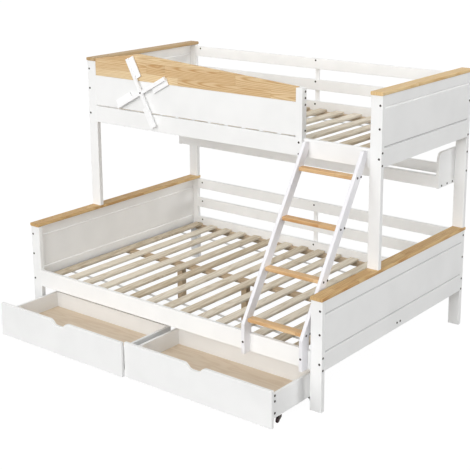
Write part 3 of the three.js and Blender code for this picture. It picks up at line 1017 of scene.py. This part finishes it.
def strap_pattern(
    steps: int = 8,
    tape_edge: float = 0.0004,
    staple_size: tuple[float, float, float] = (0.0011, 0.011, 0.0009),
    staple_reach: float = 0.013,
    staple_drop: float = 0.6,
) -> Pattern:
    """Makes the tree that runs webbing under the slats, slack between them and stapled to each.

    Args:
        steps: the straight pieces that make up the sag between two slats.
        tape_edge: the rounding of the tape's edges.
        staple_size: the size of a staple's back.
        staple_reach: how far each of a slat's two staples is from its middle.
        staple_drop: how low the staples are, as a share of the tape's thickness.

    Returns:
        The tree, with inputs for the strap's path, sag, sizes and finishes.
    """
    pattern = Pattern(
        "webbing_strap",
        "Start:Vector",
        "End:Vector",
        "Pitch",
        "Slat Count:Int",
        "Sag",
        "Width",
        "Thickness",
        "Tape Finish:Material",
        "Staple Finish:Material",
    )
    graph = pattern.graph
    start, end, pitch, slats, sag, width, thick, tape, wire = pattern.inputs()
    line = graph.add("GeometryNodeCurvePrimitiveLine", {"Start": start, "End": end})
    points = graph.scaled(slats, float(steps), 1.0 - steps)
    inputs = {"Curve": line.outputs[0], "Count": points}
    finer = graph.add("GeometryNodeResampleCurve", inputs, mode="COUNT")
    place = graph.split(graph.add("GeometryNodeInputPosition").outputs[0])[0]
    run = graph.maths("SUBTRACT", place, graph.split(start)[0])
    wave = graph.maths("SINE", graph.maths("DIVIDE", graph.times(run, math.pi), pitch))
    drop = graph.times(graph.times(wave, wave), sag)
    offset = graph.vector(0.0, 0.0, graph.times(drop, -1.0))
    slack = graph.add("GeometryNodeSetPosition", {"Geometry": finer.outputs[0], "Offset": offset})
    strap = coated(graph, swept(graph, slack.outputs[0], width, thick, tape_edge), tape)
    under = graph.vector(0.0, 0.0, graph.times(thick, -staple_drop))
    first = graph.add("ShaderNodeVectorMath", {0: start, 1: under}).outputs[0]
    staple = graph.add("GeometryNodeMeshCube", {0: staple_size}).outputs[0]
    sides = (-staple_reach, staple_reach)
    pair = joined(graph, *(moved(graph, staple, (side, 0.0, 0.0)) for side in sides))
    staples = copied(graph, wire, Points=row(graph, slats, first, pitch), Instance=pair)
    return pattern.close(joined(graph, strap, staples))


# Fittings


@dataclass(frozen=True)
class Spot:
    """Where a fastener sits, and the way it looks."""

    x: float
    y: float
    z: float
    facing: Facing


@dataclass(frozen=True)
class HeadSizes:
    """The sizes of one kind of fastener head."""

    radius: float
    height: float
    recess: float
    corners: int


class Fastener(Enum):
    """The kinds of fastener that show on the bed."""

    BOLT = HeadSizes(0.0062, 0.0016, 0.0029, 6)
    BARREL = HeadSizes(0.0058, 0.0010, 0.0024, 4)
    SCREW = HeadSizes(0.0038, 0.0009, 0.0015, 4)


@dataclass
class FastenerSet:
    """All fasteners of one kind on one body."""

    name: str
    kind: Fastener = Fastener.BOLT
    body: str = "frame"
    spots: list[Spot] = field(default_factory=list)

    def add(self, facing: Facing, x: float, y: float, *heights: float) -> None:
        """Adds spots above each other, in metres, that face one way."""
        self.spots += [Spot(x, y, z, facing) for z in heights]

    def build(self, pattern: Pattern) -> Object:
        """Runs the fastener tree on this set's points.

        Args:
            pattern: the fastener tree.

        Returns:
            One mesh with all heads of the set.
        """
        mesh = bpy.data.meshes.new(self.name)
        mesh.from_pydata([(spot.x, spot.y, spot.z) for spot in self.spots], [], [])
        facing = mesh.attributes.new("facing", "FLOAT_VECTOR", "POINT")
        for entry, spot in zip(facing.data, self.spots):
            entry.vector = spot.facing.value
        sizes = self.kind.value
        values = {
            "Head Radius": sizes.radius,
            "Head Height": sizes.height,
            "Recess Radius": sizes.recess,
            "Recess Corners": sizes.corners,
            "Finish": STEEL.material(),
        }
        made = pattern.run(self.name, values, [STEEL], mesh)
        enter(made, self.body)
        return made


@dataclass(frozen=True)
class Kit:
    """The geometry trees that the assemblies share."""

    heads: Pattern
    slats: Pattern
    straps: Pattern


def middle(node: str) -> Vector:
    """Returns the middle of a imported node's box."""
    low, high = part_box(node)
    return (low + high) / 2


class End(Enum):
    """One end of the bed: its name in the nodes, and the way it lies from the middle."""

    HEAD = ("head", -1, Facing.HEAD)
    FOOT = ("foot", 1, Facing.FOOT)

    def __init__(self, word: str, side: int, outward: Facing) -> None:
        """Keeps the name in the nodes, the sign of the end's X and its outer faces' way."""
        self.word = word
        self.side = side
        self.outward = outward

    def face(self, node: str) -> float:
        """Returns the X of a node's face that looks out at this end."""
        low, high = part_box(node)
        return high.x if self is End.FOOT else low.x


class Assembly(ABC):
    """A group of pieces with its own finishes and fittings."""

    name: str

    @abstractmethod
    def build(self, kit: Kit) -> list[Object]:
        """Dresses the group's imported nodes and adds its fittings.

        Args:
            kit: the shared geometry trees.

        Returns:
            The pieces that were added.
        """


@dataclass
class BedTier(Assembly):
    """One of the two beds: posts, end boards, caps, side rails, guard rails and batten.

    The bolts and nuts are given by their heights. The groove margin keeps an end board's own
    top and bottom out of its grooves, and the groove share is the part of the foot board,
    from below, whose grooves wear painted shade. The head boards' grooves wear a painted
    highlight.
    """

    name: str
    head_cap: Wood
    foot_cap: Wood
    post_bolts: tuple[float, ...]
    front_side_bolts: tuple[float, ...]
    back_side_bolts: tuple[float, ...]
    barrel_heights: tuple[float, ...]
    board_middle: float = 0.014
    rail_middle: float = 0.011
    guard_middle: float = 0.010
    barrel_inset: float = 0.0415
    ledge_play: float = 0.0003
    rail_thick: float = 0.022
    groove_skin: float = 0.0012
    groove_margin: float = 0.022
    groove_share: float = 1.0

    def build(self, kit: Kit) -> list[Object]:
        """Finishes the bed's wood and sets its bolts and barrel nuts."""
        made = [self.finish_end(end) for end in End]
        self.finish_rails()
        return made + [self.bolts().build(kit.heads), self.barrels().build(kit.heads)]

    def finish_end(self, end: End) -> Object:
        """Dresses the posts and cap of one end, and returns its eased board, with painted shade in
        the foot board's grooves and a painted highlight in the head board's.
        """
        place = f"{self.name}_{end.word}"
        dress(WHITE_Z, f"{place}_front_post", f"{place}_back_post")
        dress(self.head_cap if end is End.HEAD else self.foot_cap, f"{place}_cap")
        board = f"{place}_board"
        # Painted highlight in the head board's grooves, painted shade in the foot board's
        inside = PAINTED_BRIGHT if end is End.HEAD else PAINTED_SHADE
        shared = SharedLacquer(board, along=Axis.Y, other=inside, zone=self.grooves(board, end))
        return EasedBoard(board, shared).build()

    def grooves(self, board: str, end: End) -> Pocket:
        """Returns the part of an end board, in its grooves towards the foot, where the foot board's
        painted shade and the head board's painted highlight show.
        """
        low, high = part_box(board)
        share = self.groove_share if end is End.FOOT else 1.0
        top = low.z + (high.z - low.z) * share
        return Pocket(
            ((low.x + high.x) / 2, low.y, low.z + self.groove_margin),
            (high.x - self.groove_skin, high.y, top - self.groove_margin),
        )

    def finish_rails(self) -> None:
        """Dresses the rails, whose slat ledges are bare wood."""
        inward = self.rail_thick + self.ledge_play
        for side, corner, step in (("front", 0, inward), ("back", 1, -inward)):
            node = f"{self.name}_{side}_rail"
            zone = Zone(Axis.Y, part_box(node)[corner].y + step, step > 0)
            dress(SharedLacquer(node, other=BROWN_RAIL, zone=zone), node)
        dress(WHITE_X, *(f"{self.name}_guard_rail_{number}" for number in (1, 2)))
        dress(WHITE_Z, f"{self.name}_batten")

    def back_faces(self) -> tuple[float, float, float]:
        """Returns the Y of the inner faces of the two guard rails and the back rail."""
        guards = [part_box(f"{self.name}_guard_rail_{number}")[0].y for number in (1, 2)]
        return (*guards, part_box(f"{self.name}_back_rail")[1].y - self.rail_thick)

    def bolts(self) -> FastenerSet:
        """Returns the bolts in the posts and the batten."""
        bolts = FastenerSet(f"{self.name}_bolts")
        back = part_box(f"{self.name}_back_rail")[1].y - self.guard_middle
        for end in End:
            post = f"{self.name}_{end.word}_front_post"
            outer, front = end.face(post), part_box(post)[0].y
            board = outer - end.side * self.board_middle
            bolts.add(Facing.FRONT, board, front, *self.post_bolts)
            bolts.add(end.outward, outer, front + self.rail_middle, *self.front_side_bolts)
            bolts.add(end.outward, outer, back, *self.back_side_bolts)
        bolts.add(Facing.BACK, 0.0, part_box(f"{self.name}_batten")[1].y, *self.barrel_heights)
        for y, z in zip(self.back_faces(), self.barrel_heights):
            bolts.add(Facing.FRONT, 0.0, y, z)
        return bolts

    def barrels(self) -> FastenerSet:
        """Returns the barrel nuts in the inner faces of the rails."""
        barrels = FastenerSet(f"{self.name}_barrels", Fastener.BARREL)
        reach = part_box(f"{self.name}_back_rail")[1].x - self.barrel_inset
        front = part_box(f"{self.name}_front_rail")[0].y + self.rail_thick
        for x in (-reach, reach):
            for y, z in zip(self.back_faces(), self.barrel_heights):
                barrels.add(Facing.FRONT, x, y, z)
            barrels.add(Facing.BACK, x, front, self.barrel_heights[-1])
        return barrels


@dataclass
class SlatBase(Assembly):
    """A roll of slats on two webbing straps."""

    name: str
    count: int = 16
    width: float = 0.058
    thick: float = 0.016
    edge: float = 0.0035
    web_width: float = 0.020
    web_thick: float = 0.0016
    web_insets: Pair = (0.186, 0.215)
    web_sag: float = 0.004
    screw_inset: float = 0.015

    def build(self, kit: Kit) -> list[Object]:
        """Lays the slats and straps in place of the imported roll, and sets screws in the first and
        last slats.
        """
        low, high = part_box(self.name)
        pitch = (high.x - low.x - self.width) / (self.count - 1)
        first = low.x + self.width / 2
        values = {
            "Count": self.count,
            "Pitch": pitch,
            "First Middle": (first, (low.y + high.y) / 2, high.z - self.thick / 2),
            "Slat Width": self.width,
            "Slat Thickness": self.thick,
            "Slat Length": high.y - low.y,
            "Edge Rounding": self.edge,
            "Finish": SLAT.material(),
        }
        roll = kit.slats.run(f"{self.name}_roll", values, [SLAT])
        enter(roll, "frame", self.name)
        dress(SLAT, self.name)
        made = [roll]
        under = high.z - self.thick - self.web_thick / 2
        lines = (low.y + self.web_insets[0], high.y - self.web_insets[1])
        for number, y in enumerate(lines, 1):
            values = {
                "Start": (first, y, under),
                "End": (first + pitch * (self.count - 1), y, under),
                "Pitch": pitch,
                "Slat Count": self.count,
                "Sag": self.web_sag,
                "Width": self.web_width,
                "Thickness": self.web_thick,
                "Tape Finish": TAPE.material(),
                "Staple Finish": STAPLE.material(),
            }
            strap = kit.straps.run(f"{self.name}_strap_{number}", values, [TAPE, STAPLE])
            enter(strap, "frame", self.name)
            made.append(strap)
        screws = FastenerSet(f"{self.name}_screws", Fastener.SCREW)
        ends = (low.y + self.screw_inset, high.y - self.screw_inset)
        for number in (0, self.count - 1):
            for y in ends:
                screws.add(Facing.UP, first + pitch * number, y, high.z)
        return made + [screws.build(kit.heads)]


@dataclass
class CentreBeam(Assembly):
    """The beam under the double bed with its legs."""

    name: str = "centre_beam"
    legs: int = 3
    bolt_gap: float = 0.017

    def build(self, kit: Kit) -> list[Object]:
        """Finishes the beam and its legs, and sets its bolts in the end boards."""
        dress(BROWN_RAIL, self.name)
        # The legs' lighter brown pine is painted light
        dress(BROWN_LEG_PAINTED_LIGHTER, *(f"beam_leg_{number}" for number in range(1, self.legs + 1)))
        bolts = FastenerSet("beam_bolts")
        place = middle(self.name)
        for end in End:
            outer = end.face(f"lower_{end.word}_board")
            for side in (-self.bolt_gap, self.bolt_gap):
                bolts.add(end.outward, outer, place.y + side, place.z)
        return [bolts.build(kit.heads)]


@dataclass
class Guard(Assembly):
    """The upper bed's front guard: panel, roof board, entry post and windmill."""

    name: str = "guard"
    pin_gap: float = 0.0005
    windmill_ease: float = 0.0008
    post_bolts: tuple[float, ...] = (1.208, 1.146)
    edge_bolts: tuple[float, ...] = (1.477, 1.443, 1.407, 1.269)
    edge_bolt_inset: float = 0.029

    def build(self, kit: Kit) -> list[Object]:
        """Finishes the guard and eases its sawn pieces."""
        zone = Zone(Axis.Y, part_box("roof_board")[0].y - self.pin_gap, False)
        dress(SharedLacquer("guard_panel", other=STEEL, zone=zone), "guard_panel")
        made = [
            EasedBoard("roof_board", ROOF).build(),
            EasedBoard("guard_post", WHITE_Z).build(),
            # The windmill wears the brighter lacquer, painted lighter than the panel
            EasedBoard("windmill", PAINTED_BRIGHT, "windmill", self.windmill_ease).build(),
        ]
        bolts = FastenerSet("guard_bolts")
        low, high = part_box("guard_post")
        bolts.add(Facing.FRONT, (low.x + high.x) / 2, low.y, *self.post_bolts)
        bolts.add(Facing.FOOT, high.x, low.y + self.edge_bolt_inset, *self.edge_bolts)
        return made + [bolts.build(kit.heads)]


@dataclass
class Shelf(Assembly):
    """The hanging shelf between the back posts."""

    name: str = "shelf"
    screw_height: float = 0.009
    screw_insets: tuple[float, ...] = (0.035, 0.100, 0.164)

    def build(self, kit: Kit) -> list[Object]:
        """Finishes and eases the shelf and sets its screws."""
        dress(WHITE_X, "shelf_back")
        made = [EasedBoard("shelf_tray", WHITE_X).build()]
        screws = FastenerSet("shelf_screws")
        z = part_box("shelf_tray")[0].z + self.screw_height
        for end in End:
            node = f"shelf_{end.word}_end"
            made.append(EasedBoard(node, WHITE_Y).build())
            outer, front = end.face(node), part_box(node)[0].y
            for inset in self.screw_insets:
                screws.add(end.outward, outer, front + inset, z)
        return made + [screws.build(kit.heads)]


@dataclass
class Ladder(Assembly):
    """The leaning ladder."""

    name: str = "ladder"
    rungs: int = 4
    ease: float = 0.002
    bolt_gap: float = 0.017
    bolt_lift: float = 0.004
    foot_bolt: float = 0.278

    def build(self, kit: Kit) -> list[Object]:
        """Finishes the ladder, eases its stringers and sets its bolts."""
        made = []
        bolts = FastenerSet("ladder_bolts")
        rungs = [f"ladder_rung_{number}" for number in range(1, self.rungs + 1)]
        dress(RUNG, *rungs)
        for side, end in (("left", End.HEAD), ("right", End.FOOT)):
            node = f"ladder_{side}_stringer"
            # The stringers' darker white is painted shade
            made.append(EasedBoard(node, LADDER_PAINTED_SHADE, ease=self.ease).build())
            bolts.add(Facing.FRONT, middle(node).x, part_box(node)[0].y, self.foot_bolt)
            outer = end.face(node)
            for place in map(middle, rungs):
                for shift in (-self.bolt_gap, self.bolt_gap):
                    bolts.add(end.outward, outer, place.y + shift, place.z + self.bolt_lift)
        return made + [bolts.build(kit.heads)]


@dataclass
class Drawer(Assembly):
    """One drawer with its four casters."""

    name: str
    wheels: int = 4
    ease: float = 0.0015
    fork_top: float = 0.040
    screw_heights: tuple[float, ...] = (0.157, 0.128, 0.066)
    screw_inset: float = 0.044

    def build(self, kit: Kit) -> list[Object]:
        """Finishes the drawer, eases its front and sets the screws of its corners."""
        box = f"{self.name}_box"
        forks = Zone(Axis.Z, self.fork_top, False)
        dress(SharedLacquer(box, other=STEEL, zone=forks), box)
        dress(PLY, f"{self.name}_bottom")
        dress(TREAD, *(f"{self.name}_wheel_{number}" for number in range(1, self.wheels + 1)))
        front = EasedBoard(f"{self.name}_front", WHITE_X, self.name, self.ease)
        screws = FastenerSet(f"{self.name}_screws", body=self.name)
        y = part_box(box)[0].y + self.screw_inset
        for end in End:
            screws.add(end.outward, end.face(box), y, *self.screw_heights)
        return [front.build(), screws.build(kit.heads)]


@dataclass(frozen=True)
class Sun:
    """A light so far away that it falls evenly over the whole bed; its angles are in degrees."""

    name: str
    power: float
    spread: float
    turn: float
    height: float

    def build(self) -> None:
        """Hangs the light, turned from the ladder's side towards the foot end."""
        data = bpy.data.lights.new(self.name, "SUN")
        data.energy = self.power
        data.angle = math.radians(self.spread)
        made = bpy.data.objects.new(self.name, data)
        turn, height = math.radians(self.turn), math.radians(self.height)
        level = math.cos(height)
        look = Vector((-math.sin(turn) * level, math.cos(turn) * level, -math.sin(height)))
        made.rotation_euler = look.to_track_quat("-Z", "Y").to_euler()
        bpy.context.scene.collection.objects.link(made)
        LOG.info("%s light of %.2f W per square metre", self.name, self.power)


@dataclass
class Studio:
    """Camera, floor, lights and surroundings; the camera's angles are in radians."""

    place: tuple[float, float, float] = (3.75808, -4.64990, 2.45610)
    yaw: float = 0.67318
    pitch: float = 0.24533
    roll: float = -0.00628
    lens: float = 83.20
    sensor: float = 36.0
    shift: float = -0.1383
    view_end: float = 200.0
    ambient: float = 0.43
    floor_reach: float = 40.0
    floor_shade: float = 0.3
    floor_glow: float = 0.8
    floor_level: float = 1.22
    suns: tuple[Sun, ...] = (
        Sun("front", power=2.58, spread=70, turn=6, height=18),
        Sun("side", power=0.90, spread=28, turn=117, height=13),
        Sun("rim", power=0.20, spread=5, turn=60, height=4),
        Sun("top", power=0.25, spread=70, turn=0, height=85),
    )

    def build(self) -> None:
        """Sets up everything around the bed."""
        scene = bpy.context.scene
        scene.view_settings.view_transform = "Standard"
        self.camera(scene)
        self.world(scene)
        self.floor()
        for sun in self.suns:
            sun.build()

    def camera(self, scene: bpy.types.Scene) -> None:
        """Places the camera at the photograph's angle."""
        level = math.cos(self.pitch)
        forward = Vector(
            (-math.sin(self.yaw) * level, math.cos(self.yaw) * level, -math.sin(self.pitch))
        )
        right = Vector((math.cos(self.yaw), math.sin(self.yaw), 0.0))
        up = right.cross(forward)
        rolled = right * math.cos(self.roll) + up * math.sin(self.roll)
        raised = up * math.cos(self.roll) - right * math.sin(self.roll)
        turn = Matrix((rolled, raised, -forward)).transposed()
        data = bpy.data.cameras.new("photo_camera")
        data.sensor_width = self.sensor
        data.lens = self.lens
        data.shift_y = self.shift
        data.clip_end = self.view_end
        made = bpy.data.objects.new("photo_camera", data)
        made.matrix_world = Matrix.Translation(self.place) @ turn.to_4x4()
        scene.collection.objects.link(made)
        scene.camera = made
        LOG.info("camera with a %.1f mm lens", self.lens)

    def world(self, scene: bpy.types.Scene) -> None:
        """Lights the bed softly from all sides, in front of a white background."""
        world = bpy.data.worlds.new("studio")
        graph = cleared(world)
        rays = graph.add("ShaderNodeLightPath").outputs
        seen = graph.maths("MAXIMUM", rays["Is Camera Ray"], rays["Is Glossy Ray"])
        seen = graph.maths("MAXIMUM", seen, rays["Is Transmission Ray"])
        strength = graph.between(seen, self.ambient, 1.0)
        back = graph.add("ShaderNodeBackground", {"Color": WHITE, "Strength": strength})
        graph.add("ShaderNodeOutputWorld", {"Surface": back.outputs[0]})
        scene.world = world
        LOG.info("soft surroundings at %.2f", self.ambient)

    def floor(self) -> None:
        """Lays a plain pale floor that glows for the camera, under the bed's soft shadow."""
        mesh = bpy.data.meshes.new("floor")
        reach = self.floor_reach
        corners = [(-reach, -reach, 0), (reach, -reach, 0), (reach, reach, 0), (-reach, reach, 0)]
        mesh.from_pydata(corners, [], [(0, 1, 2, 3)])
        made = bpy.data.materials.new("white_floor")
        graph = cleared(made)
        ray = graph.add("ShaderNodeLightPath").outputs["Is Camera Ray"]
        white = opaque((self.floor_shade,) * 3)
        matt = graph.add("ShaderNodeBsdfDiffuse", {"Color": white})
        glow = graph.add("ShaderNodeEmission", {"Color": WHITE, "Strength": self.floor_level})
        share = graph.times(ray, self.floor_glow)
        both = graph.add("ShaderNodeMixShader", {0: share, 1: matt.outputs[0], 2: glow.outputs[0]})
        graph.add("ShaderNodeOutputMaterial", {"Surface": both.outputs[0]})
        keep("floor", mesh, [made])
        LOG.info("floor laid")


def main() -> None:
    """Builds the bed's looks group by group and sets up the studio."""
    logging.basicConfig(level=logging.INFO, format="%(name)s: %(message)s")
    kit = Kit(fastener_pattern(), slat_pattern(), strap_pattern())
    groups: list[Assembly] = [
        BedTier(
            "lower",
            CAP,
            CAP,
            post_bolts=(0.530, 0.408, 0.254),
            front_side_bolts=(0.287, 0.222),
            back_side_bolts=(0.552, 0.420, 0.287, 0.224),
            barrel_heights=(0.556, 0.423, 0.293),
        ),
        BedTier(
            "upper",
            # The upper head cap's darker wood is painted shade
            HEAD_CAP_PAINTED_SHADE,
            PALE_CAP,
            post_bolts=(1.455, 1.336, 1.182),
            front_side_bolts=(1.214, 1.148),
            back_side_bolts=(1.443, 1.344, 1.149, 1.049, 0.938),
            barrel_heights=(1.483, 1.351, 1.211),
            groove_share=0.5,
        ),
        SlatBase("lower_slats"),
        SlatBase("upper_slats"),
        CentreBeam(),
        Guard(),
        Shelf(),
        Ladder(),
        Drawer("head_drawer"),
        Drawer("foot_drawer"),
    ]
    for group in groups:
        made = group.build(kit)
        LOG.info("%s done with %d pieces of its own", group.name, len(made))
    Studio().build()


if __name__ == "__main__":
    main()
